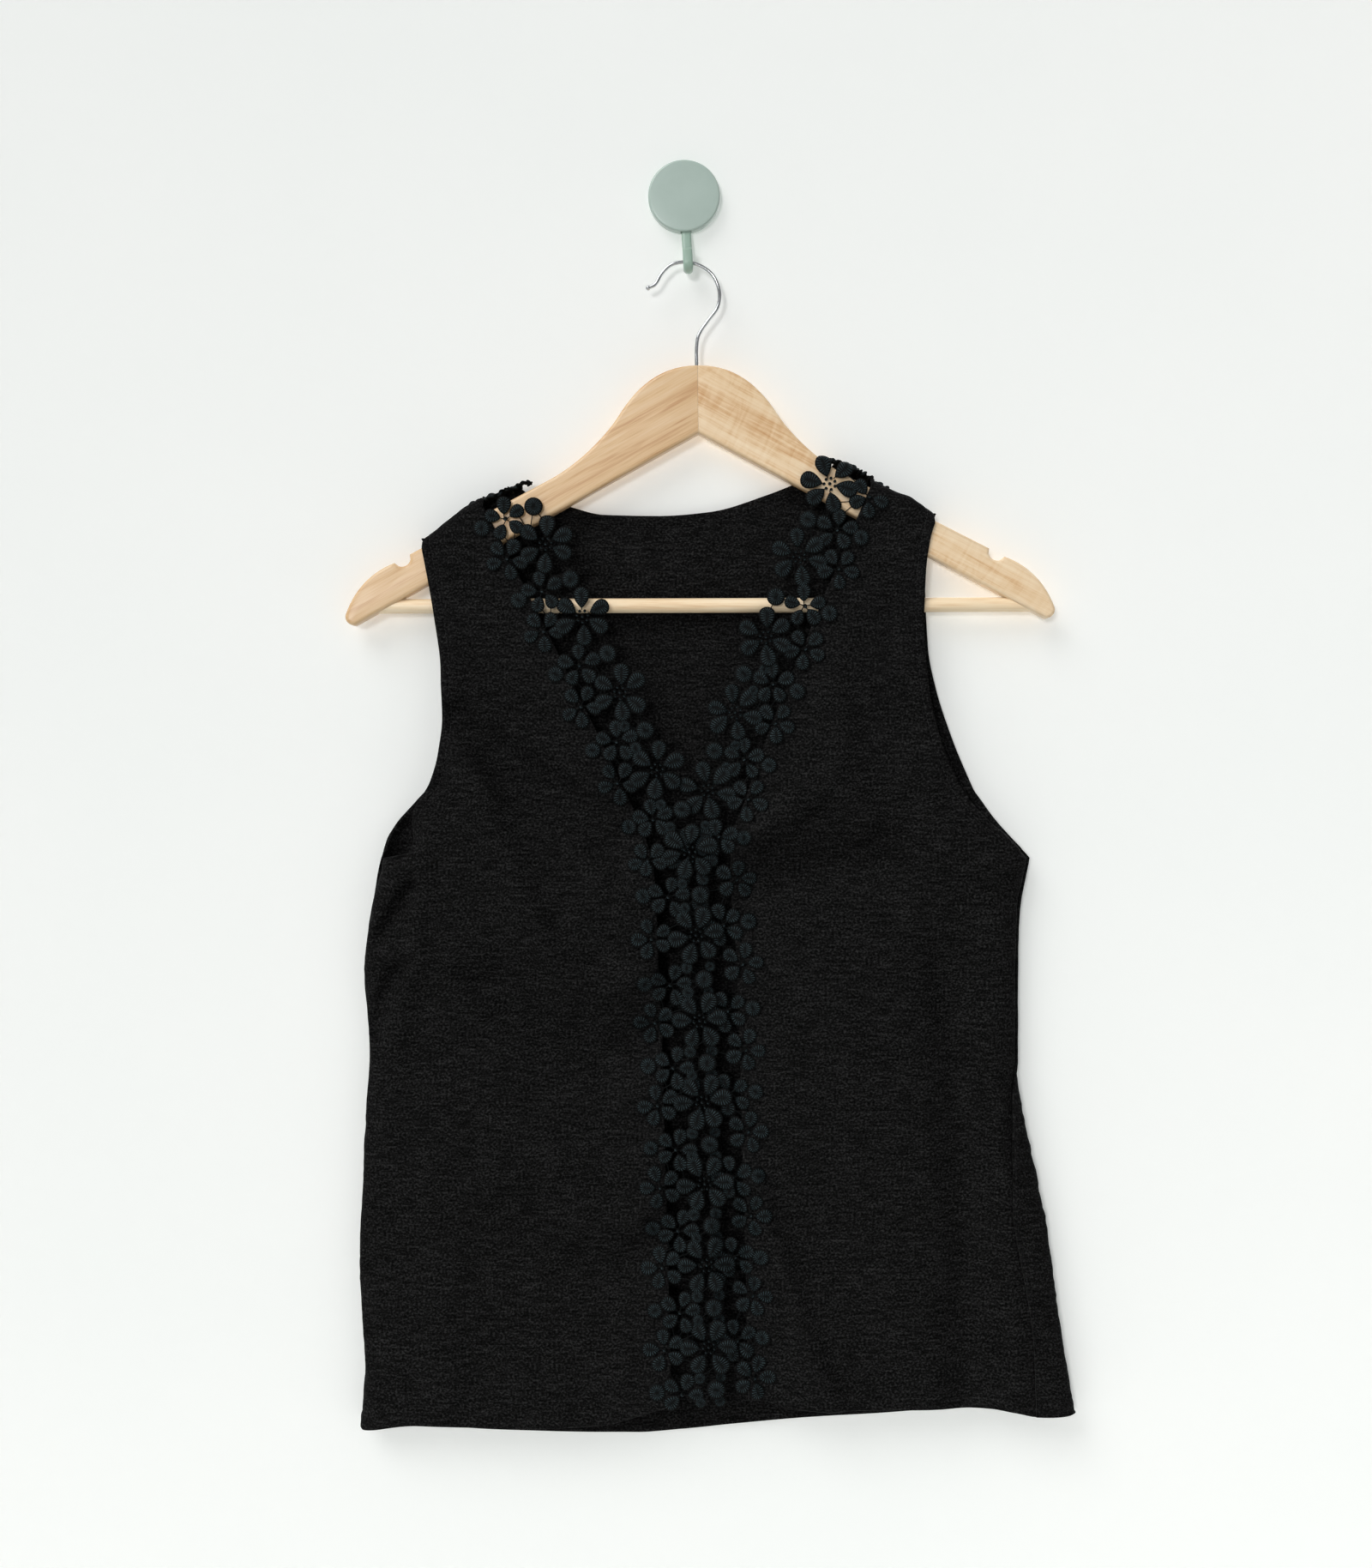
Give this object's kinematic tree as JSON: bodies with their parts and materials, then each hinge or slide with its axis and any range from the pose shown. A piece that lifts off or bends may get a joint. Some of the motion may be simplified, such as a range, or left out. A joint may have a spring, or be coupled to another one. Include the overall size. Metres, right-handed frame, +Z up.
{
  "type": "sleeveless blouse on a hanger",
  "caption": "Sleeveless V-neck blouse with lace front trims, hanging on a wooden hanger with a round bar from a round wall hook.",
  "frame": {"origin": "centre of the wall hook's flat back, on the wall plane", "axes": "+Z up, the front of the blouse faces -Y, +X to the right seen from the front; +Y points into the wall"},
  "size_m": [0.4551, 0.0318, 0.8022],
  "materials": {
    "crepe": "black crinkled crepe, matt with a faint sheen",
    "lace": "black guipure lace, satin thread",
    "wood": "light varnished wood",
    "chrome": "polished wire",
    "sage": "satin sage green"
  },
  "bodies": {
    "root": {"front_left": "crepe", "front_right": "crepe", "back": "crepe", "lace_left": "lace", "lace_right": "lace", "hanger_arm_left": "wood", "hanger_arm_right": "wood", "hanger_bar": "wood", "hanger_hook": "chrome", "wall_hook_disc": "sage", "wall_hook_arm": "sage"}
  },
  "joints": []
}
